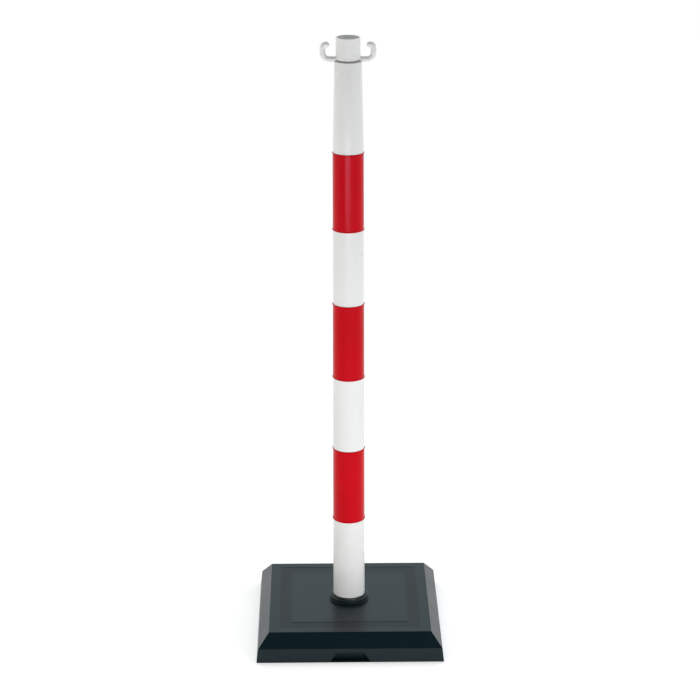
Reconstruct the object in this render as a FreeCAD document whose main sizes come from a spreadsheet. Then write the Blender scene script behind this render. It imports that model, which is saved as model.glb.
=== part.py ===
"""A free-standing chain stanchion: a plastic pole with red bands, a heavy base and a head with two hooks.

The pole stands in a collar that turns in the base, and lifts out of it. The hook head turns on a plug in
the top of the pole. Millimetres, +Z up, the origin on the floor under the pole, the hooks along X and the
front at -Y.
"""

import FreeCAD, Part
import math
import os

import Sketcher

SIZES = {
    # Base shell: a skirt with a little draft, a bevel and a flat top with a shallow square channel.
    "floor_gap": 1.0,
    "foot_width": 276.0,
    "skirt_width": 271.0,
    "skirt_height": 21.6,
    "top_width": 239.0,
    "base_height": 41.4,
    "shell_wall": 3.0,
    "shell_round": 0.8,
    "channel_outer": 210.0,
    "channel_inner": 173.0,
    "channel_depth": 0.3,
    # Sleeve in the shell's middle, closed below by a floor with a screw hole.
    "sleeve_diameter": 59.0,
    "sleeve_low": 6.6,
    "sleeve_floor": 2.4,
    # Finger grips in the front and rear skirts.
    "grip_floor": 1.2,
    "grip_bottom": 59.0,
    "grip_top": 41.0,
    "grip_height": 15.8,
    "grip_depth": 9.0,
    "grip_draft": 3.0,
    # Posts that take the screws of the bottom plate.
    "screw_spacing": 176.0,
    "post_diameter": 11.0,
    "pilot_diameter": 3.0,
    "pilot_depth": 16.0,
    # Bottom plate, screws and feet.
    "plate_width": 268.0,
    "plate_thickness": 2.5,
    "plate_recess": 1.0,
    "plate_hole": 20.0,
    "rib_width": 3.0,
    "rib_height": 0.8,
    "rib_ring": 90.0,
    "rib_margin": 6.0,
    "screw_diameter": 3.9,
    "screw_head": 8.0,
    "screw_head_height": 2.1,
    "screw_length": 15.0,
    "foot_spacing": 216.0,
    "foot_diameter": 30.0,
    "foot_rim": 6.0,
    "foot_hollow": 0.6,
    "foot_stem": 8.0,
    # Ballast block.
    "ballast_gap": 0.3,
    # Collar that holds the pole, with the washer and screw that keep it in the sleeve.
    "collar_body": 52.0,
    "collar_flange": 58.6,
    "collar_height": 8.0,
    "collar_round": 2.6,
    "collar_floor": 6.0,
    "collar_lead": 0.8,
    "washer_diameter": 16.0,
    "washer_thickness": 1.2,
    "collar_screw_head": 8.0,
    "collar_screw_head_height": 2.0,
    "collar_screw_bite": 4.6,
    # Clearances: turning fits, the pole in its collar, resting faces, plugs and screws in their holes.
    "turn_gap": 0.08,
    "slide_gap": 0.3,
    "rest_gap": 0.3,
    "plug_fit": 0.05,
    "plug_room": 2.0,
    "hole_play": 0.6,
    "notch_gap": 0.5,
    # Small shapes: the overlap of joined features, edges, and the tips and recesses of screws.
    "overlap": 0.5,
    "edge": 0.6,
    "plug_lead": 1.0,
    "screw_rim": 0.3,
    "screw_point": 2.0,
    "recess_length": 4.4,
    "recess_width": 1.0,
    "recess_depth": 1.2,
    # Pole: it narrows a little up to the last band and more above it.
    "pole_diameter": 47.6,
    "pole_waist": 44.2,
    "neck_diameter": 39.0,
    "pole_wall": 2.5,
    "pole_foot": 15.6,
    "pole_top": 867.7,
    "pole_edge": 1.1,
    "band_start": 173.6,
    "band_length": 112.5,
    "band_film": 0.25,
    # Plugs in the two ends of the pole.
    "foot_plug_flange": 2.0,
    "foot_plug_length": 20.0,
    "foot_plug_wall": 3.0,
    "top_plug_length": 24.0,
    "top_plug_boss": 28.0,
    "top_plug_rise": 2.0,
    # Hook head. Outside a clear ring round the pole's top, the hooks' arms reach lower than its bottom.
    "head_bottom": 870.0,
    "head_diameter": 34.7,
    "head_top": 900.9,
    "head_clear": 40.6,
    "head_floor": 3.0,
    "head_overrun": 6.0,
    "socket_diameter": 31.0,
    "rim_round": 0.5,
    "spigot_diameter": 16.0,
    "barb_diameter": 18.4,
    "barb_height": 4.0,
    "slit_width": 2.2,
    "slit_height": 15.0,
    "drain_diameter": 5.0,
    "hook_thick": 8.4,
    "hook_drop": 4.7,
    "hook_reach": 35.6,
    "hook_top": 894.4,
    "hook_bend": 9.2,
    "hook_curl": 4.8,
    "hook_root_round": 1.8,
}

CURL_ANGLE = 98.0  # degrees that the end of a hook turns back towards the pole
HOOK_LEVEL = "head_bottom - hook_drop + hook_thick / 2"  # the height of the arms' centre line
CORNERS = {"front_left": (-1, -1), "front_right": (1, -1), "rear_left": (-1, 1), "rear_right": (1, 1)}
BANDS = {"lower": 0, "middle": 2, "upper": 4}  # how many band lengths each band stands above the lowest
LEAST_CHANGE = 0.001  # mm3, the least that a feature has to add or take away

doc = FreeCAD.newDocument("chain_stanchion")
sheet = doc.addObject("Spreadsheet::Sheet", "Sizes")
for row, (alias, value) in enumerate(SIZES.items(), 1):
    sheet.set(f"A{row}", alias)
    sheet.set(f"B{row}", str(value))
    sheet.setAlias(f"B{row}", alias)
doc.recompute()

nodes = {}


def bound(text):
    """An expression in which every name of the sheet is written as Sizes.name."""
    words = []
    for word in text.split():
        words.append(f"Sizes.{word}" if word in SIZES else word)
    return " ".join(words)


def new_body(name):
    """A PartDesign body that becomes the node of that name."""
    body = doc.addObject("PartDesign::Body", name)
    body.Label = name
    nodes[name] = body
    return body


def origin_part(body, role):
    """One of the body's own origin planes or axes, by its role."""
    return next(f for f in body.Origin.OriginFeatures if f.Role == role)


def new_sketch(body, name, plane, height="0"):
    """A sketch on an origin plane, raised along the plane's normal."""
    sketch = body.newObject("Sketcher::SketchObject", name)
    sketch.AttachmentSupport = (origin_part(body, plane), "")
    sketch.MapMode = "FlatFace"
    sketch.setExpression("AttachmentOffset.Base.z", bound(height))
    return sketch


def add_loop(sketch, corners):
    """A closed loop of straight sides. Each corner is two expressions, bound as distances from the origin.

    The loop starts as a small regular polygon, which the constraints then pull into its shape.
    """
    first = sketch.GeometryCount
    count = len(corners)
    turn = 2 * math.pi / count
    start = [FreeCAD.Vector(9 + 4 * math.cos(turn * i), 9 + 4 * math.sin(turn * i), 0) for i in range(count)]
    for i in range(count):
        sketch.addGeometry(Part.LineSegment(start[i], start[(i + 1) % count]), False)
    for i in range(count):
        joined = Sketcher.Constraint("Coincident", first + i, 2, first + (i + 1) % count, 1)
        sketch.addConstraint(joined)
    for i, (across, up) in enumerate(corners):
        here = start[i]
        for kind, axis, text, rough in (("DistanceX", -2, across, here.x), ("DistanceY", -1, up, here.y)):
            if text == "0":
                sketch.addConstraint(Sketcher.Constraint("PointOnObject", first + i, 1, axis))
                continue
            held = sketch.addConstraint(Sketcher.Constraint(kind, -1, 1, first + i, 1, rough))
            sketch.setExpression(f"Constraints[{held}]", bound(text))


def square(width):
    """The corners of a square about the origin."""
    return [(f"( {width} ) * {across}", f"( {width} ) * {along}")
            for across, along in ((-0.5, -0.5), (0.5, -0.5), (0.5, 0.5), (-0.5, 0.5))]


def revolve(body, name, corners, kind="PartDesign::Revolution"):
    """A full turn about Z of a profile whose corners are (radius, height)."""
    sketch = new_sketch(body, name + "_profile", "XZ_Plane")
    add_loop(sketch, corners)
    turned = body.newObject(kind, name)
    turned.Profile = sketch
    turned.ReferenceAxis = (sketch, ["V_Axis"])
    turned.Angle = 360
    doc.recompute()
    return turned


def loft(body, name, sections, kind="PartDesign::AdditiveLoft"):
    """A ruled loft through sketches."""
    lofted = body.newObject(kind, name)
    lofted.Profile = sections[0]
    lofted.Sections = sections[1:]
    lofted.Ruled = True
    doc.recompute()
    return lofted


def primitive(body, kind, name, sizes, place):
    """A PartDesign primitive with its sizes and place bound to the sheet."""
    made = body.newObject(kind, name)
    for key, text in sizes.items():
        made.setExpression(key, bound(text))
    made.AttachmentSupport = (origin_part(body, "XY_Plane"), "")
    made.MapMode = "FlatFace"
    for axis, text in zip("xyz", place):
        made.setExpression(f"AttachmentOffset.Base.{axis}", bound(text))
    doc.recompute()
    return made


def cylinder(body, kind, name, diameter, length, place):
    return primitive(body, kind, name, {"Radius": f"( {diameter} ) / 2", "Height": length}, place)


def dress(body, kind, name, size_name, size, wanted):
    """A fillet or chamfer on the edges of the body's tip that a test picks out."""
    tip = body.Tip
    edges = [f"Edge{i}" for i, edge in enumerate(tip.Shape.Edges, 1) if wanted(edge)]
    dressed = body.newObject(kind, name)
    dressed.Base = (tip, edges)
    dressed.setExpression(size_name, bound(size))
    doc.recompute()
    return dressed


def both_ends(edge):
    return [vertex.Point for vertex in edge.Vertexes]


def place_body(body, across, along):
    body.setExpression("Placement.Base.x", bound(across))
    body.setExpression("Placement.Base.y", bound(along))


def frustum(body, kind, name, widths, low, high):
    """A square block about the pole's axis that narrows from the first width to the second."""
    wide, narrow = (f"( {width} ) / 2" for width in widths)
    sizes = {"Ymin": low, "Ymax": high}
    for axis in "XZ":
        sizes[f"{axis}min"] = f"{wide} * -1"
        sizes[f"{axis}max"] = wide
        sizes[f"{axis}2min"] = f"{narrow} * -1"
        sizes[f"{axis}2max"] = narrow
    made = body.newObject(kind, name)
    for key, text in sizes.items():
        made.setExpression(key, bound(text))
    made.AttachmentSupport = (origin_part(body, "XZ_Plane"), "")
    made.MapMode = "FlatFace"
    doc.recompute()
    return made


def shell_blocks(body, kind, name, low, inset="0", top_inset="0"):
    """The shell's skirt and bevel as two stacked blocks, moved inwards by an inset."""
    step = f"skirt_height - ( {inset} ) / 2"
    top = f"base_height - ( {top_inset} )"
    skirt_width = f"skirt_width - 2 * ( {inset} )"
    frustum(body, kind, name + "_skirt", (f"foot_width - 2 * ( {inset} )", skirt_width), low, step)
    frustum(body, kind, name + "_bevel", (skirt_width, f"top_width - {inset}"), step, top)


def grip_sketch(body, name, distance, draft):
    """A finger grip's outline in a plane in front of the axis, its sides and top moved in by a draft."""
    sketch = new_sketch(body, name, "XZ_Plane", distance)
    low = "floor_gap + grip_floor"
    high = f"floor_gap + grip_height - {draft}"
    add_loop(sketch, [
        (f"grip_bottom / -2 + {draft}", low), (f"grip_bottom / 2 - {draft}", low),
        (f"grip_top / 2 - {draft}", high), (f"grip_top / -2 + {draft}", high),
    ])
    return sketch


def mirrored(body, name, originals, plane):
    copy = body.newObject("PartDesign::Mirrored", name)
    copy.Originals = originals
    copy.MirrorPlane = (origin_part(body, plane), [""])
    body.Tip = copy
    doc.recompute()
    return copy


def polar(body, name, originals, count=4):
    """Copies of features round Z."""
    copy = body.newObject("PartDesign::PolarPattern", name)
    copy.Originals = originals
    copy.Axis = (origin_part(body, "Z_Axis"), [""])
    copy.Angle = 360
    copy.Occurrences = count
    body.Tip = copy
    doc.recompute()
    return copy


# ---------------------------------------------------------------- base


def make_base_shell():
    """The moulded cover: hollow, with a sleeve for the collar, four screw posts and two finger grips."""
    body = new_body("base_shell")
    shell_blocks(body, "PartDesign::AdditiveWedge", "cover", "floor_gap")
    low = SIZES["floor_gap"] + 0.1
    dress(body, "PartDesign::Fillet", "cover_edges", "Radius", "shell_round",
          lambda edge: edge.BoundBox.ZMax > low)
    shell_blocks(body, "PartDesign::SubtractiveWedge", "hollow", "0", "shell_wall", "shell_wall")

    cylinder(body, "PartDesign::AdditiveCylinder", "sleeve", "sleeve_diameter",
             "base_height - shell_wall - sleeve_low", ("0", "0", "sleeve_low"))
    plate_top = "floor_gap + plate_recess + plate_thickness"
    inside = f"base_height - shell_wall - ( {plate_top} )"
    post = cylinder(body, "PartDesign::AdditiveCylinder", "post", "post_diameter", inside,
                    ("screw_spacing / 2", "screw_spacing / 2", plate_top))
    polar(body, "posts", [post])
    pilot = cylinder(body, "PartDesign::SubtractiveCylinder", "pilot", "pilot_diameter", "pilot_depth",
                     ("screw_spacing / 2", "screw_spacing / 2", plate_top))
    polar(body, "pilots", [pilot])
    bore = "collar_body + 2 * turn_gap"
    cylinder(body, "PartDesign::SubtractiveCylinder", "sleeve_bore", bore, "base_height",
             ("0", "0", "sleeve_low + sleeve_floor"))
    cylinder(body, "PartDesign::SubtractiveCylinder", "sleeve_screw_hole", "screw_diameter + hole_play",
             "base_height", ("0", "0", "0"))

    wall = primitive(
        body, "PartDesign::AdditiveBox", "grip_wall",
        {"Length": "grip_bottom + 2 * shell_wall", "Width": "grip_depth + shell_wall / 2",
         "Height": "grip_height + shell_wall"},
        ("grip_bottom / -2 - shell_wall", "skirt_width / -2 + shell_wall / 2", "floor_gap"),
    )
    mirrored(body, "grip_walls", [wall], "XZ_Plane")
    mouth = grip_sketch(body, "grip_mouth", "foot_width / 2 + overlap", "0")
    back = grip_sketch(body, "grip_back", "skirt_width / 2 - grip_depth", "grip_draft")
    grip = loft(body, "grip", [mouth, back], "PartDesign::SubtractiveLoft")
    mirrored(body, "grips", [grip], "XZ_Plane")

    channel = new_sketch(body, "channel_profile", "XY_Plane", "base_height")
    for width in ("channel_outer", "channel_inner"):
        add_loop(channel, square(width))
    cut = body.newObject("PartDesign::Pocket", "channel")
    cut.Profile = channel
    cut.setExpression("Length", bound("channel_depth"))
    doc.recompute()
    return body


def make_ballast():
    """The concrete block that fills the shell above the bottom plate."""
    body = new_body("ballast_block")
    plate_top = "floor_gap + plate_recess + plate_thickness"
    low = f"{plate_top} + ballast_gap"
    inset = "shell_wall + ballast_gap"
    shell_blocks(body, "PartDesign::AdditiveWedge", "block", "0", inset, inset)
    primitive(body, "PartDesign::SubtractiveBox", "flat_bottom",
              {"Length": "foot_width * 2", "Width": "foot_width * 2", "Height": "foot_width"},
              ("foot_width * -1", "foot_width * -1", f"{low} - foot_width"))
    cylinder(body, "PartDesign::SubtractiveCylinder", "well", "sleeve_diameter + 2 * ballast_gap",
             "base_height", ("0", "0", "0"))
    hole = cylinder(body, "PartDesign::SubtractiveCylinder", "post_hole", "post_diameter + 2 * ballast_gap",
                    "base_height", ("screw_spacing / 2", "screw_spacing / 2", "0"))
    polar(body, "post_holes", [hole])
    notch = primitive(
        body, "PartDesign::SubtractiveBox", "grip_notch",
        {"Length": "grip_bottom + 2 * shell_wall + 2 * ballast_gap",
         "Width": "grip_depth + shell_wall + ballast_gap",
         "Height": "floor_gap + grip_height + shell_wall + ballast_gap"},
        ("grip_bottom / -2 - shell_wall - ballast_gap", "skirt_width / -2", "0"),
    )
    mirrored(body, "grip_notches", [notch], "XZ_Plane")
    return body


def make_bottom_plate():
    """The closing plate under the ballast, with ribs, holes for screws and feet, and room for the grips."""
    body = new_body("bottom_plate")
    bottom = "floor_gap + plate_recess"
    primitive(body, "PartDesign::AdditiveBox", "sheet",
              {"Length": "plate_width", "Width": "plate_width", "Height": "plate_thickness"},
              ("plate_width / -2", "plate_width / -2", bottom))
    rib_low = f"{bottom} - rib_height"
    rib_high = f"{bottom} + overlap"
    revolve(body, "rib_ring", [
        ("rib_ring / 2 - rib_width", rib_low), ("rib_ring / 2", rib_low),
        ("rib_ring / 2", rib_high), ("rib_ring / 2 - rib_width", rib_high),
    ])
    rib = primitive(
        body, "PartDesign::AdditiveBox", "rib",
        {"Length": "rib_width", "Width": "( plate_width - rib_ring ) / 2 - grip_depth - rib_margin + overlap",
         "Height": "rib_height + overlap"},
        ("rib_width / -2", "rib_ring / 2 - overlap", rib_low),
    )
    polar(body, "ribs", [rib])
    notch = primitive(
        body, "PartDesign::SubtractiveBox", "grip_notch",
        {"Length": "grip_bottom + 2 * shell_wall + 2 * notch_gap",
         "Width": "( foot_width - skirt_width ) / 2 + grip_depth + shell_wall + notch_gap",
         "Height": "base_height"},
        ("grip_bottom / -2 - shell_wall - notch_gap", "foot_width / -2", "0"),
    )
    mirrored(body, "grip_notches", [notch], "XZ_Plane")
    through = cylinder(body, "PartDesign::SubtractiveCylinder", "screw_hole", "screw_diameter + hole_play",
                       "base_height", ("screw_spacing / 2", "screw_spacing / 2", "0"))
    polar(body, "screw_holes", [through])
    sink = primitive(
        body, "PartDesign::SubtractiveCone", "countersink",
        {"Radius1": "( screw_head + hole_play ) / 2 + screw_rim",
         "Radius2": "( screw_diameter + hole_play ) / 2",
         "Height": "screw_head_height + screw_rim"},
        ("screw_spacing / 2", "screw_spacing / 2", bottom),
    )
    polar(body, "countersinks", [sink])
    cylinder(body, "PartDesign::SubtractiveCylinder", "middle_hole", "plate_hole", "base_height",
             ("0", "0", "0"))
    stem = cylinder(body, "PartDesign::SubtractiveCylinder", "stem_hole", "foot_stem + 2 * plug_fit",
                    "base_height", ("foot_spacing / 2", "foot_spacing / 2", "0"))
    polar(body, "stem_holes", [stem])
    return body


def cross_recess(body, name, low):
    """A cross recess cut up into a screw's head."""
    arms = {"long": ("recess_length", "recess_width"), "cross": ("recess_width", "recess_length")}
    for arm, (length, width) in arms.items():
        primitive(body, "PartDesign::SubtractiveBox", f"{name}_{arm}",
                  {"Length": length, "Width": width, "Height": "recess_depth + overlap"},
                  (f"{length} / -2", f"{width} / -2", f"{low} - overlap"))


def make_screw(name, side, front):
    """A countersunk self-tapping screw with its head flush with the plate's underside."""
    body = doc.addObject("PartDesign::Body", name)
    low = "floor_gap + plate_recess + plug_fit"
    shank = "pilot_diameter / 2 - plug_fit"
    revolve(body, name + "_turned", [
        ("0", low), ("screw_head / 2", low), ("screw_head / 2", f"{low} + screw_rim"),
        (shank, f"{low} + screw_head_height"), (shank, f"{low} + screw_length - screw_point"),
        ("0", f"{low} + screw_length"),
    ])
    cross_recess(body, name, low)
    place_body(body, f"screw_spacing / 2 * {side}", f"screw_spacing / 2 * {front}")
    return body


def make_screws():
    """The four screws of the bottom plate, one node of separate solids."""
    screws = [make_screw(f"screw_{corner}", *signs) for corner, signs in CORNERS.items()]
    group = doc.addObject("Part::Compound", "bottom_plate_screws")
    group.Label = "bottom_plate_screws"
    group.Links = screws
    nodes["bottom_plate_screws"] = group


def make_foot(corner, side, front):
    """A rubber foot: a disc with a hollow middle and a stem pressed into the plate."""
    body = new_body(f"rubber_foot_{corner}")
    plate_low = "floor_gap + plate_recess"
    inner = "foot_diameter / 2 - foot_rim"
    revolve(body, f"foot_{corner}", [
        ("0", "foot_hollow"), (f"{inner} - foot_hollow", "foot_hollow"), (inner, "0"),
        ("foot_diameter / 2 - edge", "0"), ("foot_diameter / 2", "edge"), ("foot_diameter / 2", plate_low),
        ("foot_stem / 2", plate_low), ("foot_stem / 2", f"{plate_low} + plate_thickness"),
        ("0", f"{plate_low} + plate_thickness"),
    ])
    place_body(body, f"foot_spacing / 2 * {side}", f"foot_spacing / 2 * {front}")


# ---------------------------------------------------------------- collar and pole


def make_collar():
    """The flanged cup that the pole stands in. It turns in the shell's sleeve."""
    body = new_body("pole_collar")
    low = "sleeve_low + sleeve_floor + rest_gap"
    seat = "base_height + rest_gap"
    top = "base_height + collar_height"
    bore = "pole_diameter / 2 + slide_gap"
    pilot = "pilot_diameter / 2"
    revolve(body, "collar", [
        (pilot, low), ("collar_body / 2", low), ("collar_body / 2", seat), ("collar_flange / 2", seat),
        ("collar_flange / 2", top), (f"{bore} + collar_lead", top), (bore, f"{top} - collar_lead"),
        (bore, f"{low} + collar_floor"), (pilot, f"{low} + collar_floor"),
    ])
    high = SIZES["base_height"] + SIZES["collar_height"]
    dress(body, "PartDesign::Fillet", "collar_top", "Radius", "collar_round",
          lambda edge: abs(edge.BoundBox.ZMax - high) < 0.01 and abs(edge.BoundBox.ZMin - high) < 0.01
          and abs(edge.BoundBox.XMax - SIZES["collar_flange"] / 2) < 0.05)


def make_collar_washer():
    """The washer under the sleeve's floor that keeps the collar from lifting out."""
    body = new_body("collar_washer")
    top = "sleeve_low - rest_gap"
    inner = "( screw_diameter + hole_play ) / 2"
    revolve(body, "washer", [
        (inner, f"{top} - washer_thickness"), ("washer_diameter / 2", f"{top} - washer_thickness"),
        ("washer_diameter / 2", top), (inner, top),
    ])


def make_collar_screw():
    """The pan-head screw that comes up through the washer into the collar's floor."""
    body = new_body("collar_screw")
    seat = "sleeve_low - rest_gap - washer_thickness"
    low = f"{seat} - collar_screw_head_height"
    tip = "sleeve_low + sleeve_floor + rest_gap + collar_screw_bite"
    shank = "pilot_diameter / 2 - plug_fit"
    revolve(body, "collar_screw_turned", [
        ("0", low), ("collar_screw_head / 2 - edge", low), ("collar_screw_head / 2", f"{low} + edge"),
        ("collar_screw_head / 2", seat), (shank, seat), (shank, f"{tip} - screw_point / 2"), ("0", tip),
    ])
    cross_recess(body, "collar_screw", low)


def pole_radius(height):
    """The tube's outer radius at a height below its last band's top."""
    drop = f"( {height} - pole_foot ) / ( band_start + 5 * band_length - pole_foot )"
    return f"pole_diameter / 2 - ( pole_diameter - pole_waist ) / 2 * {drop}"


def make_pole_tube():
    """The white tube. It narrows evenly up to the last band, then faster towards the head."""
    body = new_body("pole_tube")
    low = "pole_foot + foot_plug_flange"
    waist = "band_start + 5 * band_length"
    straight = f"{low} + foot_plug_length + plug_room"
    neck = "neck_diameter / 2"
    revolve(body, "tube", [
        ("pole_diameter / 2 - pole_wall", low), (pole_radius(f"( {low} )"), low),
        ("pole_waist / 2", waist), (neck, "pole_top - pole_edge"), (f"{neck} - pole_edge", "pole_top"),
        (f"{neck} - pole_wall", "pole_top"),
        (f"{neck} - pole_wall", "pole_top - top_plug_length - plug_room"),
        ("pole_waist / 2 - pole_wall", waist), ("pole_diameter / 2 - pole_wall", straight),
    ])


def make_band(name, steps):
    """A band of red film wrapped round the tube."""
    body = new_body(f"red_band_{name}")
    low = f"band_start + {steps} * band_length"
    high = f"{low} + band_length"
    inner = [pole_radius(f"( {height} )") for height in (low, high)]
    revolve(body, f"band_{name}", [
        (inner[0], low), (f"{inner[0]} + band_film", low),
        (f"{inner[1]} + band_film", high), (inner[1], high),
    ])


def make_foot_plug():
    """The cup-shaped plug that closes and stiffens the foot of the tube."""
    body = new_body("pole_foot_plug")
    rim = "pole_diameter / 2 - slide_gap"
    outer = "pole_diameter / 2 - pole_wall - plug_fit"
    inner = f"{outer} - foot_plug_wall"
    step = "pole_foot + foot_plug_flange"
    high = f"{step} + foot_plug_length"
    revolve(body, "foot_plug", [
        ("0", "pole_foot"), (f"{rim} - edge", "pole_foot"), (rim, "pole_foot + edge"), (rim, step),
        (outer, step), (outer, f"{high} - plug_lead"), (f"{outer} - plug_lead", high), (inner, high),
        (inner, f"{step} + plug_lead"), ("0", f"{step} + plug_lead"),
    ])


def make_top_plug():
    """The plug in the mouth of the tube. The head's spigot turns in its bore."""
    body = new_body("pole_top_plug")
    outer = "neck_diameter / 2 - pole_wall - plug_fit"
    bore = "spigot_diameter / 2 + turn_gap"
    low = "pole_top - top_plug_length"
    revolve(body, "top_plug", [
        (bore, low), (f"{outer} - plug_lead", low), (outer, f"{low} + plug_lead"), (outer, "pole_top"),
        ("top_plug_boss / 2", "pole_top"), ("top_plug_boss / 2", "pole_top + top_plug_rise"),
        (bore, "pole_top + top_plug_rise"),
    ])


# ---------------------------------------------------------------- head


def hook_path(body):
    """The centre line of the right hook: out from the axis, up, and back over towards the pole."""
    sketch = new_sketch(body, "hook_path", "XZ_Plane")
    reach, bend, curl = (SIZES[name] for name in ("hook_reach", "hook_bend", "hook_curl"))
    half = SIZES["hook_thick"] / 2
    level = SIZES["head_bottom"] - SIZES["hook_drop"] + half
    rise = SIZES["hook_top"] - half - curl
    point = FreeCAD.Vector
    corner = point(reach - bend, level + bend, 0)
    over = point(reach - curl, rise, 0)
    up = point(0, 0, 1)
    sketch.addGeometry(Part.LineSegment(point(0, level, 0), point(reach - bend, level, 0)), False)
    sketch.addGeometry(Part.ArcOfCircle(Part.Circle(corner, up, bend), -math.pi / 2, 0), False)
    sketch.addGeometry(Part.LineSegment(point(reach, level + bend, 0), point(reach, rise, 0)), False)
    sketch.addGeometry(Part.ArcOfCircle(Part.Circle(over, up, curl), 0, math.radians(CURL_ANGLE)), False)
    for ends in ((0, 2, 1, 1), (1, 2, 2, 1), (2, 2, 3, 1)):
        sketch.addConstraint(Sketcher.Constraint("Tangent", *ends))
    sketch.addConstraint(Sketcher.Constraint("Horizontal", 0))
    sketch.addConstraint(Sketcher.Constraint("PointOnObject", 0, 1, -2))
    held = {
        ("DistanceY", -1, 1, 0, 1, level): HOOK_LEVEL,
        ("DistanceX", -1, 1, 1, 2, reach): "hook_reach",
        ("DistanceY", -1, 1, 2, 2, rise): "hook_top - hook_thick / 2 - hook_curl",
        ("Radius", 1, bend): "hook_bend",
        ("Radius", 3, curl): "hook_curl",
    }
    for made, text in held.items():
        number = sketch.addConstraint(Sketcher.Constraint(*made))
        sketch.setExpression(f"Constraints[{number}]", bound(text))
    turned = math.radians(CURL_ANGLE)
    tip = over + point(curl * math.cos(turned), curl * math.sin(turned), 0)
    sketch.addConstraint(Sketcher.Constraint("DistanceX", 3, 2, 3, 3, over.x - tip.x))
    doc.recompute()
    return sketch, tip


def add_hooks(body):
    """A round bar swept along the hook's path, with a ball on its end, then both copied to the other side."""
    path, tip = hook_path(body)
    section = new_sketch(body, "hook_section", "YZ_Plane")
    thick = SIZES["hook_thick"]
    level = SIZES["head_bottom"] - SIZES["hook_drop"] + thick / 2
    section.addGeometry(Part.Circle(FreeCAD.Vector(0, level, 0), FreeCAD.Vector(0, 0, 1), thick / 2), False)
    section.addConstraint(Sketcher.Constraint("PointOnObject", 0, 3, -2))
    held = section.addConstraint(Sketcher.Constraint("DistanceY", -1, 1, 0, 3, level))
    section.setExpression(f"Constraints[{held}]", bound(HOOK_LEVEL))
    held = section.addConstraint(Sketcher.Constraint("Diameter", 0, thick))
    section.setExpression(f"Constraints[{held}]", bound("hook_thick"))
    hook = body.newObject("PartDesign::AdditivePipe", "hook")
    hook.Profile = section
    hook.Spine = (path, ["Edge1", "Edge2", "Edge3", "Edge4"])
    doc.recompute()
    ball = body.newObject("PartDesign::AdditiveSphere", "hook_tip")
    ball.setExpression("Radius", bound("hook_thick / 2"))
    ball.AttachmentSupport = (origin_part(body, "XY_Plane"), "")
    ball.MapMode = "FlatFace"
    ball.AttachmentOffset = FreeCAD.Placement(FreeCAD.Vector(tip.x, 0, tip.y), FreeCAD.Rotation())
    doc.recompute()
    copy = body.newObject("PartDesign::Mirrored", "hooks")
    copy.TransformMode = "Whole shape"
    copy.MirrorPlane = (origin_part(body, "YZ_Plane"), [""])
    body.Tip = copy
    doc.recompute()


def make_hook_head():
    """The head: an open socket with a hook on each side and a split spigot with a barb below."""
    body = new_body("hook_head")
    cylinder(body, "PartDesign::AdditiveCylinder", "barrel", "head_diameter",
             "head_top - head_bottom + head_overrun", ("0", "0", "head_bottom - head_overrun"))
    add_hooks(body)
    outer = SIZES["head_diameter"] / 2
    low = SIZES["head_bottom"] - SIZES["hook_drop"] - 0.1
    high = low + SIZES["hook_thick"] + 0.2

    def hook_root(edge):
        box = edge.BoundBox
        return abs(abs(box.Center.x) - outer) < 1 and box.ZMin > low and box.ZMax < high and box.YLength > 1

    dress(body, "PartDesign::Fillet", "hook_roots", "Radius", "hook_root_round", hook_root)
    cylinder(body, "PartDesign::SubtractiveCylinder", "pole_room", "head_clear", "head_overrun * 2",
             ("0", "0", "head_bottom - head_overrun * 2"))
    spigot = "spigot_diameter / 2"
    barb = "pole_top - top_plug_length - rest_gap"
    low = f"{barb} - barb_height"
    revolve(body, "spigot", [
        ("0", low), (f"{spigot} - plug_lead", low), ("barb_diameter / 2", f"{barb} - plug_lead"),
        ("barb_diameter / 2", barb), (spigot, barb), (spigot, "head_bottom + overlap"),
        ("0", "head_bottom + overlap"),
    ])
    cylinder(body, "PartDesign::SubtractiveCylinder", "bore", "socket_diameter", "head_top - head_bottom",
             ("0", "0", "head_bottom + head_floor"))
    cylinder(body, "PartDesign::SubtractiveCylinder", "drain", "drain_diameter",
             f"head_bottom + head_floor + overlap - ( {low} - overlap )", ("0", "0", f"{low} - overlap"))
    slits = {"slit": ("head_diameter", "slit_width"), "cross_slit": ("slit_width", "head_diameter")}
    for name, (length, width) in slits.items():
        primitive(body, "PartDesign::SubtractiveBox", name,
                  {"Length": length, "Width": width, "Height": "slit_height + overlap"},
                  (f"{length} / -2", f"{width} / -2", f"{low} - overlap"))
    high = SIZES["head_top"]
    dress(body, "PartDesign::Fillet", "rim", "Radius", "rim_round",
          lambda edge: abs(edge.BoundBox.ZMin - high) < 0.01 and abs(edge.BoundBox.ZMax - high) < 0.01)


# ---------------------------------------------------------------- the whole stanchion


def check_document():
    """Stops if any object failed, any cut removed nothing, or any node has no valid solid."""
    doc.recompute()
    for item in doc.Objects:
        if "Invalid" in item.State or "Error" in item.State:
            raise RuntimeError(f"{item.Name} failed: {item.State}")
        base = getattr(item, "BaseFeature", None)
        if base is None:
            continue
        gained = item.Shape.Volume - base.Shape.Volume
        cuts = "Subtractive" in item.TypeId or "Pocket" in item.TypeId
        if abs(gained) < LEAST_CHANGE or cuts and gained > 0:
            raise RuntimeError(f"{item.Name} changed the volume by {gained:.4f} mm3")
    for name, item in nodes.items():
        shape = item.Shape
        if shape.isNull() or not shape.isValid() or not shape.Solids:
            raise RuntimeError(f"{name} has no valid shape")


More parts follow.
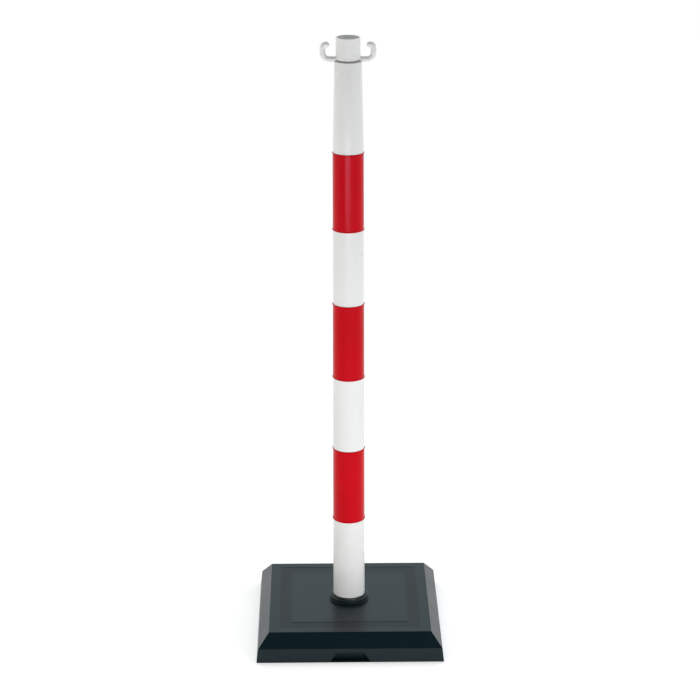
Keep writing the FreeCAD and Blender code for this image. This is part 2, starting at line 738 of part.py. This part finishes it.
def main():
    make_base_shell()
    make_ballast()
    make_bottom_plate()
    make_screws()
    for corner, signs in CORNERS.items():
        make_foot(corner, *signs)
    make_collar()
    make_collar_washer()
    make_collar_screw()
    make_pole_tube()
    for name, steps in BANDS.items():
        make_band(name, steps)
    make_foot_plug()
    make_top_plug()
    make_hook_head()
    check_document()
    os.makedirs("parts", exist_ok=True)
    for name, item in nodes.items():
        item.Shape.exportStep(f"parts/{name}.step")
        box = item.Shape.BoundBox
        print(f"{name}: {len(item.Shape.Solids)} solid(s), {item.Shape.Volume / 1000:.2f} cm3, "
              f"z {box.ZMin:.1f} to {box.ZMax:.1f}")


main()
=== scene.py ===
"""Looks for the chain stanchion: finer round pieces, procedural materials, studio light and the camera."""

import math

import bmesh
import bpy
from mathutils import Matrix, Vector


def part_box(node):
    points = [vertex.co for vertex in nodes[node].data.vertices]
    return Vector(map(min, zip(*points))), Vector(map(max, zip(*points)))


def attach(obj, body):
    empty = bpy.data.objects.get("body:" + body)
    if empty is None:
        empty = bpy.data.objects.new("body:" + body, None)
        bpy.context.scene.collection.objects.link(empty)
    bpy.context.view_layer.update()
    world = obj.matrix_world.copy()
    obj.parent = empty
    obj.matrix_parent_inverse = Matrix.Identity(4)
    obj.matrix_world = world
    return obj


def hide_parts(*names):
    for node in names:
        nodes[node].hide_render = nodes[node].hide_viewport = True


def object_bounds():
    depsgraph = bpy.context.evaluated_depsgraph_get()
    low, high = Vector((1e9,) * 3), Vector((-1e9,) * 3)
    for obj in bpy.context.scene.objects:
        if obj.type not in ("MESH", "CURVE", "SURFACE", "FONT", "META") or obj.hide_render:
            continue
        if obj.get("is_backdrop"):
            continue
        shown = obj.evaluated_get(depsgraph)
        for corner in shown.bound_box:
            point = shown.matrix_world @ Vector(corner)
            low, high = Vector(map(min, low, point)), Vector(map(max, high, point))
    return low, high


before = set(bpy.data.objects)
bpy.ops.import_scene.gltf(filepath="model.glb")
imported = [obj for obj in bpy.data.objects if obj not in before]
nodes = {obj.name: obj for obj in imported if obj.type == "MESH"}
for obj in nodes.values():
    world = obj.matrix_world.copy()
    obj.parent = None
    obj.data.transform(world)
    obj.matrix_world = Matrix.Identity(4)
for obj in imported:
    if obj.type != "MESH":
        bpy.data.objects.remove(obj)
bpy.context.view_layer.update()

MM = 0.001

# ---------------------------------------------------------------- sizes of the CAD model, in mm

BASE_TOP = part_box("base_shell")[1].z / MM
CHANNEL_OUTER = 105.0  # from the base's middle to the channel's outer edge
CHANNEL_INNER = 86.5  # and to its inner edge

POLE_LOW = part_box("pole_tube")[0].z / MM
POLE_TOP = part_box("pole_tube")[1].z / MM
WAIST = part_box("red_band_upper")[1].z / MM  # above this height the tube narrows faster
POLE_FOOT = 15.6  # the height at which the tube's outside would have POLE_RADIUS
POLE_RADIUS = 23.8
WAIST_RADIUS = 22.1
NECK_RADIUS = 19.5
POLE_WALL = 2.5
RIM_ROUND = 1.1
TOP_BORE = 26.0  # the bore is straight over this length at the top, where a plug sits
FOOT_BORE = 22.0  # and over this length at the foot

BAND_FILM = 0.25  # how far the red film stands out from the tube
FILM_SUNK = 0.02  # how far its inner face lies inside the tube's surface
FILM_ROUND = 0.1
FILM_STEPS = 3
FILM_LAP = 0.12  # how far the film stands up where its end lies over its start
LAP_WIDTH = 8.0
LAP_HALF = LAP_WIDTH / 2 / POLE_RADIUS  # half the lap's width, as an angle

COLLAR_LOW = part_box("pole_collar")[0].z / MM
COLLAR_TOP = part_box("pole_collar")[1].z / MM
COLLAR_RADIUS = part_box("pole_collar")[1].x / MM
COLLAR_BORE = 24.1
COLLAR_SHANK = 26.0  # the radius of the part that turns in the base
COLLAR_GAP = 0.3  # between the ring and the base's top
COLLAR_FLOOR = 6.0  # the floor's thickness under the pole
COLLAR_PILOT = 1.5  # the radius of the screw's pilot hole
COLLAR_LEAD = 0.8  # the chamfer at the mouth
RING_ROUND = 2.6
SHANK_ROUND = 0.6
SEAT_ROUND = 0.5
EDGE_ROUND = 0.25


def pole_radius(height):
    """The tube's outer radius below the top of its last band."""
    return POLE_RADIUS - (POLE_RADIUS - WAIST_RADIUS) * (height - POLE_FOOT) / (WAIST - POLE_FOOT)


# ---------------------------------------------------------------- meshes

SEGMENTS = 192  # faces round a turned piece
ARC_STEPS = 8  # straight runs that make up a rounded corner
SUPPORT = 0.5  # mm from a rounded corner to the extra point beside it
SUPPORT_SHARE = 0.3  # of the straight run beside the corner, where that is less
SHARP_ANGLE = 35.0  # degrees between two faces, above which their edge is shaded sharp


def rounded(corners, steps=ARC_STEPS):
    """A closed profile with its corners rounded. Each corner is (radius from the axis, height, rounding).

    Extra points stand a little way from each arc, so that smooth shading stays flat on the straight runs.
    """
    made = []
    for i, (x, z, rounding) in enumerate(corners):
        here = Vector((x, z))
        if rounding <= 0:
            made.append(here)
            continue
        before = Vector(corners[i - 1][:2]) - here
        after = Vector(corners[(i + 1) % len(corners)][:2]) - here
        angle = before.angle(after)
        reach = rounding / math.tan(angle / 2)
        inward = (before.normalized() + after.normalized()).normalized()
        centre = here + inward * (rounding / math.sin(angle / 2))
        start = here + before.normalized() * reach
        end = here + after.normalized() * reach
        made.append(start + before.normalized() * min(SUPPORT, (before.length - reach) * SUPPORT_SHARE))
        for step in range(steps + 1):
            made.append(centre + (start - centre).slerp(end - centre, step / steps))
        made.append(end + after.normalized() * min(SUPPORT, (after.length - reach) * SUPPORT_SHARE))
    return made


def lathe(name, profile, swell=None):
    """A closed profile in mm turned round Z into a mesh in metres.

    swell(angle) adds to the radius of every point.
    """
    work = bmesh.new()
    rings = []
    for i in range(SEGMENTS):
        angle = math.tau * i / SEGMENTS
        extra = swell(angle) if swell else 0.0
        ring = []
        for point in profile:
            radius = (point.x + extra) * MM
            ring.append(work.verts.new((radius * math.cos(angle), radius * math.sin(angle), point.y * MM)))
        rings.append(ring)
    count = len(profile)
    for i in range(SEGMENTS):
        here, there = rings[i], rings[(i + 1) % SEGMENTS]
        for j in range(count):
            k = (j + 1) % count
            work.faces.new((here[j], there[j], there[k], here[k]))
    bmesh.ops.recalc_face_normals(work, faces=work.faces)
    mesh = bpy.data.meshes.new(name)
    work.to_mesh(mesh)
    work.free()
    mesh.shade_smooth()
    mesh.set_sharp_from_angle(angle=math.radians(SHARP_ANGLE))
    made = bpy.data.objects.new(name, mesh)
    bpy.context.scene.collection.objects.link(made)
    return made


def stand_in(made, node, body, material):
    """made takes the place of a CAD node."""
    made.data.materials.append(material)
    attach(made, body)
    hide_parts(node)


# ---------------------------------------------------------------- materials

NOISE_LOW, NOISE_HIGH = 0.3, 0.7  # nearly all of a noise lies between these values


class Graph:
    """A short way to write a material's nodes round one Principled shader."""

    def __init__(self, name):
        self.material = bpy.data.materials.new(name)
        self.material.use_nodes = True
        self.tree = self.material.node_tree
        self.tree.nodes.clear()
        self.shader = self.tree.nodes.new("ShaderNodeBsdfPrincipled")
        out = self.tree.nodes.new("ShaderNodeOutputMaterial")
        self.tree.links.new(self.shader.outputs["BSDF"], out.inputs["Surface"])
        self.place = self.add("ShaderNodeTexCoord").outputs["Object"]
        self.axes = self.add("ShaderNodeSeparateXYZ", {0: self.place}).outputs

    def add(self, kind, inputs=None, **settings):
        made = self.tree.nodes.new(kind)
        for key, value in settings.items():
            setattr(made, key, value)
        for key, value in (inputs or {}).items():
            self.put(made.inputs[key], value)
        return made

    def put(self, socket, value):
        if isinstance(value, bpy.types.NodeSocket):
            self.tree.links.new(value, socket)
        else:
            socket.default_value = value

    def set(self, **values):
        """Shader inputs by name, with _ for a space."""
        for key, value in values.items():
            self.put(self.shader.inputs[key.replace("_", " ")], value)

    def math(self, operation, a, b=0.0, clamp=False):
        return self.add("ShaderNodeMath", {0: a, 1: b}, operation=operation, use_clamp=clamp).outputs[0]

    def times(self, a, b):
        return self.math("MULTIPLY", a, b)

    def vector(self, operation, a, b):
        return self.add("ShaderNodeVectorMath", {0: a, 1: b}, operation=operation).outputs[0]

    def noise(self, scale, detail, rough=0.5, stretch=None, shift=0.0):
        place = self.vector("MULTIPLY", self.place, stretch) if stretch else self.place
        if shift:
            place = self.vector("ADD", place, (shift,) * 3)
        inputs = {"Vector": place, "Scale": scale, "Detail": detail, "Roughness": rough}
        return self.add("ShaderNodeTexNoise", inputs).outputs["Fac"]

    def ramp(self, value, low, high, start=0.0, end=1.0):
        """start at low, end at high, and a smooth change between them. low may be the larger of the two."""
        inputs = {"Value": value, "From Min": low, "From Max": high, "To Min": start, "To Max": end}
        return self.add("ShaderNodeMapRange", inputs, interpolation_type="SMOOTHSTEP").outputs[0]

    def spread(self, noise, start=0.0, end=1.0):
        """A noise turned into values that run from start to end."""
        return self.ramp(noise, NOISE_LOW, NOISE_HIGH, start, end)

    def mix(self, share, a, b):
        """The colour a turned into b by a share."""
        made = self.add("ShaderNodeMix", data_type="RGBA")
        self.put(made.inputs["Factor"], share)
        for socket, value in ((made.inputs[6], a), (made.inputs[7], b)):
            self.put(socket, value if isinstance(value, bpy.types.NodeSocket) else (*value, 1.0))
        return made.outputs[2]

    def bump(self, height, depth_mm, strength, below=None):
        """A bump, on top of the one below where there is one."""
        inputs = {"Height": height, "Distance": depth_mm * MM, "Strength": strength}
        made = self.add("ShaderNodeBump", inputs)
        if below is not None:
            self.put(made.inputs["Normal"], below)
        return made.outputs["Normal"]


def grey(level, warm=0.0):
    return (level * (1 + warm), level, level * (1 - warm))


# Linear colours. A noise mixes the two of each pair.
POLE_WHITES = (0.765, 0.765, 0.752), (0.80, 0.80, 0.79)
POLE_DIRT = (0.42, 0.41, 0.38)
HEAD_WHITES = (0.755, 0.75, 0.735), (0.785, 0.782, 0.77)
HEAD_RUB = (0.45, 0.44, 0.41)
FILM_REDS = (0.505, 0.0, 0.0030), (0.560, 0.0, 0.0050)
FILM_RUB = (0.62, 0.03, 0.05)
FILM_GLOSS = (1.0, 0.48, 0.66, 1.0)
BASE_DARKS = (0.0026, 0.0108, 0.0142), (0.0034, 0.0124, 0.0160)
# Painted shade: the channel's near-black colour stands in for the shade and weaker reflection in the recess.
CHANNEL_PAINTED_SHADE = (0.0002, 0.0014, 0.0022)
BASE_DUST = (0.13, 0.145, 0.145)
COLLAR_DARKS = (0.004, 0.011, 0.012), (0.007, 0.016, 0.017)
PLATE_DARKS = grey(0.012), grey(0.018)
PLATE_DUST = grey(0.14, 0.05)
RUBBER_DARK = grey(0.014)
RUBBER_DUST = grey(0.12, 0.06)
ZINC_GREYS = (0.50, 0.51, 0.53), (0.62, 0.61, 0.58)
PLUG_WHITES = grey(0.60, 0.01), grey(0.66, 0.01)
CONCRETE_GREYS = grey(0.26, 0.03), grey(0.40, 0.02)
CONCRETE_PITS = grey(0.12, 0.03)

WHITE_SPECULAR = 0.40
WHITE_SCATTER = (1.0, 1.0, 0.95)
DIRT_TOP = 0.26  # m above the floor, where the dirt on the pole begins
DIRT_FULL = 0.04  # m above the floor, where it is full
PARTING_FLAT = 0.08  # mm from the hooks' plane, where the parting line begins to fade
PARTING_HALF = 0.28  # mm from it, where the line ends
FADE_OUTSIDE = 1.0  # mm outside the channel's edges, where its look begins
FADE_INSIDE = 2.0  # mm inside them, where it is full
FADE_LOW = 1.4  # mm below the base's top, and nothing lower has the channel's look
FADE_HIGH = 1.1  # mm below the base's top, where the look is full


def white_plastic():
    """Smooth moulded white plastic: faint mottling, orange peel, dirt near the foot and hairline scuffs."""
    look = Graph("pole_white")
    mottle = look.ramp(look.noise(scale=9.0, detail=4.0), low=0.35, high=0.7)
    near_foot = look.ramp(look.axes["Z"], low=DIRT_TOP, high=DIRT_FULL)
    patches = look.ramp(look.noise(scale=26.0, detail=5.0, rough=0.6, shift=3.0), low=0.45, high=0.75)
    hairlines = look.noise(scale=40.0, detail=6.0, rough=0.7, stretch=(1.0, 1.0, 0.06), shift=7.0)
    scuffs = look.ramp(hairlines, low=0.66, high=0.74)
    dirt = look.times(look.times(near_foot, patches), 0.10)
    marks = look.math("ADD", dirt, look.times(scuffs, 0.10), clamp=True)
    look.set(Base_Color=look.mix(marks, look.mix(mottle, *POLE_WHITES), POLE_DIRT))
    rough = look.spread(look.noise(scale=60.0, detail=5.0), start=0.27, end=0.36)
    look.set(Roughness=look.math("ADD", rough, look.times(scuffs, 0.18)))
    peel = look.bump(look.noise(scale=34.0, detail=2.0, shift=5.0), depth_mm=0.12, strength=0.25)
    look.set(Normal=look.bump(look.noise(scale=420.0, detail=2.0), depth_mm=0.02, strength=0.35, below=peel))
    look.set(Specular_IOR_Level=WHITE_SPECULAR, Subsurface_Weight=0.08)
    look.set(Subsurface_Radius=WHITE_SCATTER, Subsurface_Scale=0.003)
    return look.material


def head_plastic():
    """White plastic with a fine parting line along the plane of the hooks."""
    look = Graph("head_white")
    mottle = look.ramp(look.noise(scale=30.0, detail=4.0), low=0.35, high=0.7)
    rub = look.ramp(look.noise(scale=160.0, detail=5.0, rough=0.65), low=0.58, high=0.72)
    look.set(Base_Color=look.mix(look.times(rub, 0.05), look.mix(mottle, *HEAD_WHITES), HEAD_RUB))
    look.set(Roughness=look.spread(look.noise(scale=220.0, detail=4.0), start=0.30, end=0.40))
    off_plane = look.math("ABSOLUTE", look.axes["Y"])
    line = look.ramp(off_plane, low=PARTING_FLAT * MM, high=PARTING_HALF * MM, start=1.0, end=0.0)
    grain = look.bump(look.noise(scale=900.0, detail=2.0), depth_mm=0.015, strength=0.4)
    look.set(Normal=look.bump(line, depth_mm=0.12, strength=0.8, below=grain))
    look.set(Specular_IOR_Level=WHITE_SPECULAR, Subsurface_Weight=0.55)
    look.set(Subsurface_Radius=WHITE_SCATTER, Subsurface_Scale=0.005)
    return look.material


def red_film():
    """Self-adhesive film with a slight unevenness and faint handling marks."""
    look = Graph("red_film")
    tone = look.spread(look.noise(scale=14.0, detail=4.0))
    streaks = look.noise(scale=90.0, detail=6.0, rough=0.7, stretch=(1.0, 1.0, 0.2), shift=9.0)
    rub = look.ramp(streaks, low=0.62, high=0.75)
    look.set(Base_Color=look.mix(look.times(rub, 0.05), look.mix(tone, *FILM_REDS), FILM_RUB))
    look.set(Roughness=look.spread(look.noise(scale=50.0, detail=4.0, shift=2.0), start=0.17, end=0.21))
    waves = look.bump(look.noise(scale=26.0, detail=3.0, shift=4.0), depth_mm=0.15, strength=0.3)
    look.set(Normal=look.bump(look.noise(scale=300.0, detail=2.0), depth_mm=0.02, strength=0.3, below=waves))
    look.set(Specular_IOR_Level=0.15, Specular_Tint=FILM_GLOSS)
    return look.material


def base_plastic():
    """Dark blue-grey moulded plastic with a fine grain. The channel in the top is rougher, and painted shade
    in its colour makes it darker.
    """
    look = Graph("base_dark")
    across = look.math("ABSOLUTE", look.axes["X"])
    along = look.math("ABSOLUTE", look.axes["Y"])
    span = look.math("MAXIMUM", across, along)
    inner = look.ramp(span, (CHANNEL_INNER - FADE_OUTSIDE) * MM, (CHANNEL_INNER + FADE_INSIDE) * MM)
    outer_low = (CHANNEL_OUTER - FADE_INSIDE) * MM
    outer_high = (CHANNEL_OUTER + FADE_OUTSIDE) * MM
    outer = look.ramp(span, outer_low, outer_high, start=1.0, end=0.0)
    high = look.ramp(look.axes["Z"], (BASE_TOP - FADE_LOW) * MM, (BASE_TOP - FADE_HIGH) * MM)
    channel = look.times(look.times(inner, outer), high)
    tone = look.spread(look.noise(scale=18.0, detail=5.0, rough=0.6))
    # Painted shade: inside the channel the colour is darkened to stand in for its shade; the roughness and
    # grain below are real texture.
    body = look.mix(channel, look.mix(tone, *BASE_DARKS), CHANNEL_PAINTED_SHADE)
    dust = look.ramp(look.noise(scale=55.0, detail=6.0, rough=0.7, shift=6.0), low=0.52, high=0.78)
    lines = look.noise(scale=30.0, detail=5.0, rough=0.6, stretch=(1.0, 9.0, 1.0), shift=11.0)
    scratch = look.ramp(lines, low=0.67, high=0.73)
    marks = look.math("ADD", look.times(dust, 0.008), look.times(scratch, 0.006), clamp=True)
    look.set(Base_Color=look.mix(marks, body, BASE_DUST))
    rough = look.spread(look.noise(scale=22.0, detail=3.0, shift=1.0), start=0.28, end=0.31)
    look.set(Roughness=look.math("ADD", rough, look.times(channel, 0.05)))
    grain = look.bump(look.noise(scale=1500.0, detail=2.0), depth_mm=0.006, strength=0.35)
    coarse = look.times(look.noise(scale=700.0, detail=2.0, shift=8.0), channel)
    look.set(Normal=look.bump(coarse, depth_mm=0.015, strength=0.4, below=grain))
    look.set(Specular_IOR_Level=0.20)
    return look.material


def collar_plastic():
    """Near-black plastic with a soft gloss and faint turning marks."""
    look = Graph("collar_black")
    tone = look.spread(look.noise(scale=60.0, detail=4.0))
    look.set(Base_Color=look.mix(tone, *COLLAR_DARKS))
    look.set(Roughness=look.spread(look.noise(scale=120.0, detail=5.0), start=0.34, end=0.40))
    turned = look.noise(scale=500.0, detail=2.0, stretch=(0.05, 0.05, 3.0))
    look.set(Normal=look.bump(turned, depth_mm=0.006, strength=0.3))
    look.set(Specular_IOR_Level=0.30)
    return look.material


def plate_plastic():
    """Black moulded plastic with a fine texture and a little dust."""
    look = Graph("plate_black")
    tone = look.spread(look.noise(scale=25.0, detail=5.0))
    dust = look.ramp(look.noise(scale=70.0, detail=6.0, rough=0.7, shift=4.0), low=0.5, high=0.8)
    look.set(Base_Color=look.mix(look.times(dust, 0.12), look.mix(tone, *PLATE_DARKS), PLATE_DUST))
    look.set(Roughness=look.spread(look.noise(scale=90.0, detail=4.0), start=0.45, end=0.6))
    look.set(Normal=look.bump(look.noise(scale=1300.0, detail=2.0), depth_mm=0.03, strength=0.6))
    return look.material


def rubber():
    """Matt black rubber, dusty from the floor."""
    look = Graph("rubber_black")
    dust = look.ramp(look.noise(scale=180.0, detail=6.0, rough=0.7), low=0.45, high=0.8)
    look.set(Base_Color=look.mix(look.times(dust, 0.2), RUBBER_DARK, RUBBER_DUST))
    look.set(Roughness=look.spread(look.noise(scale=200.0, detail=4.0), start=0.7, end=0.88))
    look.set(Normal=look.bump(look.noise(scale=2200.0, detail=3.0), depth_mm=0.04, strength=0.7))
    look.set(Specular_IOR_Level=0.3)
    return look.material


def zinc():
    """Zinc-plated steel with a faint brushed grain."""
    look = Graph("zinc")
    tone = look.spread(look.noise(scale=700.0, detail=5.0))
    look.set(Base_Color=look.mix(tone, *ZINC_GREYS), Metallic=1.0)
    brushed = look.noise(scale=900.0, detail=4.0, stretch=(1.0, 6.0, 1.0))
    look.set(Roughness=look.spread(brushed, start=0.26, end=0.42))
    grain = look.noise(scale=1500.0, detail=3.0, stretch=(1.0, 8.0, 1.0))
    look.set(Normal=look.bump(grain, depth_mm=0.01, strength=0.5))
    return look.material


def plug_plastic():
    """Off-white moulded plastic."""
    look = Graph("plug_white")
    tone = look.spread(look.noise(scale=60.0, detail=4.0))
    look.set(Base_Color=look.mix(tone, *PLUG_WHITES))
    look.set(Roughness=look.spread(look.noise(scale=150.0, detail=4.0), start=0.42, end=0.55))
    look.set(Normal=look.bump(look.noise(scale=1200.0, detail=2.0), depth_mm=0.02, strength=0.5))
    return look.material


def concrete():
    """Cast concrete with stones and small pits."""
    look = Graph("concrete")
    stones = look.ramp(look.noise(scale=120.0, detail=6.0, rough=0.65), low=0.4, high=0.65)
    pits = look.ramp(look.noise(scale=420.0, detail=3.0, shift=3.0), low=0.62, high=0.7)
    look.set(Base_Color=look.mix(pits, look.mix(stones, *CONCRETE_GREYS), CONCRETE_PITS))
    look.set(Roughness=look.spread(look.noise(scale=300.0, detail=4.0), start=0.8, end=0.95))
    relief = look.bump(stones, depth_mm=0.5, strength=0.6)
    look.set(Normal=look.bump(pits, depth_mm=-0.6, strength=0.8, below=relief))
    return look.material


pole_white = white_plastic()
red = red_film()
base_dark = base_plastic()
collar_black = collar_plastic()
plate_black = plate_plastic()
rubber_black = rubber()
zinc_plate = zinc()
plug_white = plug_plastic()
grey_concrete = concrete()
head_white = head_plastic()

for node, material in {
    "base_shell": base_dark,
    "ballast_block": grey_concrete,
    "bottom_plate": plate_black,
    "bottom_plate_screws": zinc_plate,
    "rubber_foot_front_left": rubber_black,
    "rubber_foot_front_right": rubber_black,
    "rubber_foot_rear_left": rubber_black,
    "rubber_foot_rear_right": rubber_black,
    "collar_washer": zinc_plate,
    "collar_screw": zinc_plate,
    "pole_foot_plug": plug_white,
    "pole_top_plug": plug_white,
    "hook_head": head_white,
}.items():
    nodes[node].material_slots[0].material = material

# ---------------------------------------------------------------- pieces made finer than the CAD nodes

tube = lathe("pole_tube_fine", rounded([
    (POLE_RADIUS - POLE_WALL, POLE_LOW, 0.0),
    (pole_radius(POLE_LOW), POLE_LOW, 0.0),
    (WAIST_RADIUS, WAIST, 0.0),
    (NECK_RADIUS, POLE_TOP, RIM_ROUND),
    (NECK_RADIUS - POLE_WALL, POLE_TOP, 0.0),
    (NECK_RADIUS - POLE_WALL, POLE_TOP - TOP_BORE, 0.0),
    (WAIST_RADIUS - POLE_WALL, WAIST, 0.0),
    (POLE_RADIUS - POLE_WALL, POLE_LOW + FOOT_BORE, 0.0),
]))
stand_in(tube, "pole_tube", "pole", pole_white)


def film_lap(angle):
    """The film's two ends overlap on a narrow strip at the back of the pole."""
    return FILM_LAP if abs(angle - math.pi / 2) < LAP_HALF else 0.0


for name in ("lower", "middle", "upper"):
    low, high = (corner.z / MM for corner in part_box(f"red_band_{name}"))
    band = lathe(f"red_band_{name}_fine", rounded([
        (pole_radius(low) - FILM_SUNK, low, 0.0),
        (pole_radius(low) + BAND_FILM, low, FILM_ROUND),
        (pole_radius(high) + BAND_FILM, high, FILM_ROUND),
        (pole_radius(high) - FILM_SUNK, high, 0.0),
    ], steps=FILM_STEPS), swell=film_lap)
    stand_in(band, f"red_band_{name}", "pole", red)

collar = lathe("pole_collar_fine", rounded([
    (COLLAR_PILOT, COLLAR_LOW, 0.0),
    (COLLAR_SHANK, COLLAR_LOW, SHANK_ROUND),
    (COLLAR_SHANK, BASE_TOP + COLLAR_GAP, 0.0),
    (COLLAR_RADIUS, BASE_TOP + COLLAR_GAP, EDGE_ROUND),
    (COLLAR_RADIUS, COLLAR_TOP, RING_ROUND),
    (COLLAR_BORE + COLLAR_LEAD, COLLAR_TOP, EDGE_ROUND),
    (COLLAR_BORE, COLLAR_TOP - COLLAR_LEAD, EDGE_ROUND),
    (COLLAR_BORE, COLLAR_LOW + COLLAR_FLOOR, SEAT_ROUND),
    (COLLAR_PILOT, COLLAR_LOW + COLLAR_FLOOR, 0.0),
]))
stand_in(collar, "pole_collar", "collar", collar_black)

# ---------------------------------------------------------------- floor, light and camera, in metres

FLOOR_HALF = 14.0
FLOOR_DROP = 0.0002  # under the feet, so that no two faces lie in one plane

floor_corners = [(x * FLOOR_HALF, y * FLOOR_HALF, 0) for x, y in ((-1, -1), (1, -1), (1, 1), (-1, 1))]
floor_mesh = bpy.data.meshes.new("floor")
floor_mesh.from_pydata(floor_corners, [], [(0, 1, 2, 3)])
floor = bpy.data.objects.new("floor", floor_mesh)
floor.location.z = -FLOOR_DROP
bpy.context.scene.collection.objects.link(floor)
pale = Graph("floor_pale")
pale.set(Base_Color=(0.95, 0.95, 0.95, 1.0), Roughness=0.9, Specular_IOR_Level=0.1)
pale.set(Emission_Color=(1.0, 1.0, 1.0, 1.0), Emission_Strength=0.50)
floor_mesh.materials.append(pale.material)
floor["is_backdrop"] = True


def make_world(level, patches):
    """Studio surroundings, white at the level given, with patches of other colours.

    Each patch is (direction, colour there, cosine where it begins, cosine where it is full).
    """
    world = bpy.data.worlds.new("studio")
    world.use_nodes = True
    tree = world.node_tree
    tree.nodes.clear()
    place = tree.nodes.new("ShaderNodeTexCoord").outputs["Generated"]
    light = tree.nodes.new("ShaderNodeBackground")
    out = tree.nodes.new("ShaderNodeOutputWorld")
    tree.links.new(light.outputs[0], out.inputs[0])
    for direction, colour, start, full in patches:
        along = tree.nodes.new("ShaderNodeVectorMath")
        along.operation = "DOT_PRODUCT"
        along.inputs[1].default_value = Vector(direction).normalized()
        tree.links.new(place, along.inputs[0])
        share = tree.nodes.new("ShaderNodeMapRange")
        share.interpolation_type = "SMOOTHSTEP"
        share.inputs["From Min"].default_value = start
        share.inputs["From Max"].default_value = full
        tree.links.new(along.outputs["Value"], share.inputs["Value"])
        mixed = tree.nodes.new("ShaderNodeMix")
        mixed.data_type = "RGBA"
        mixed.inputs[6].default_value = (level, level, level, 1.0)
        mixed.inputs[7].default_value = (*colour, 1.0)
        if light.inputs["Color"].links:
            tree.links.new(light.inputs["Color"].links[0].from_socket, mixed.inputs[6])
        tree.links.new(share.outputs[0], mixed.inputs["Factor"])
        tree.links.new(mixed.outputs[2], light.inputs["Color"])
    bpy.context.scene.world = world


def softbox(name, place, aim, size, power, colour=(1.0, 1.0, 1.0), spread=180.0):
    """A rectangular soft light of size (width, height) in metres. The spread is in degrees."""
    light = bpy.data.lights.new(name, "AREA")
    light.shape = "RECTANGLE"
    light.size, light.size_y = size
    light.energy = power
    light.color = colour
    light.spread = math.radians(spread)
    made = bpy.data.objects.new(name, light)
    made.location = place
    made.rotation_euler = (Vector(aim) - Vector(place)).to_track_quat("-Z", "Y").to_euler()
    made.visible_camera = False
    bpy.context.scene.collection.objects.link(made)


WORLD_LEVEL = 1.14
DARK_FRONT = ((0.0, -0.80, 0.60), (0.06, 0.06, 0.06), 0.15, 0.70)
TINTED_REAR = ((0.0, 0.90, 0.44), (0.87, 1.03, 1.09), 0.72, 0.92)
POLE_MIDDLE = (0, 0, 0.4)
UPPER_POLE = (0, 0, 0.70)
POLE_AT_BASE = (0, 0, 0.06)
WIDE_BOX = (1.4, 1.4)
WARM = (1.0, 0.74, 0.40)
COOL = (0.92, 0.95, 1.0)

make_world(WORLD_LEVEL, [DARK_FRONT, TINTED_REAR])
softbox("key_right", place=(2.3, -1.9, 1.00), aim=POLE_MIDDLE, size=WIDE_BOX, power=8.2)
softbox("fill_left", place=(-2.3, -1.7, 1.00), aim=POLE_MIDDLE, size=WIDE_BOX, power=4.2, colour=WARM)
softbox("strip_front", place=(-0.10, -1.5, 0.35), aim=UPPER_POLE, size=(1.0, 0.24), power=5.6, colour=COOL)
softbox("foot_right", place=(0.62, -1.30, 0.30), aim=POLE_AT_BASE, size=(0.35, 0.22), power=0.43, spread=50.0)

CAMERA_PLACE = (-0.0384, -3.0130, 1.4959)
CAMERA_YAW = -0.77
CAMERA_PITCH = 19.33  # degrees down
CAMERA_ROLL = -0.09
LENS = 112.28
SENSOR_WIDTH = 36.0
CLIP_END = 60.0

camera_data = bpy.data.cameras.new("camera")
camera_data.lens = LENS
camera_data.sensor_width = SENSOR_WIDTH
camera_data.clip_end = CLIP_END
camera = bpy.data.objects.new("camera", camera_data)
bpy.context.scene.collection.objects.link(camera)
yaw = Matrix.Rotation(math.radians(CAMERA_YAW), 4, "Z")
tilt = Matrix.Rotation(math.radians(90 - CAMERA_PITCH), 4, "X")
roll = Matrix.Rotation(math.radians(CAMERA_ROLL), 4, "Z")
camera.matrix_world = Matrix.Translation(CAMERA_PLACE) @ (yaw @ tilt) @ roll
bpy.context.scene.camera = camera
bpy.context.scene.view_settings.view_transform = "Standard"

low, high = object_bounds()
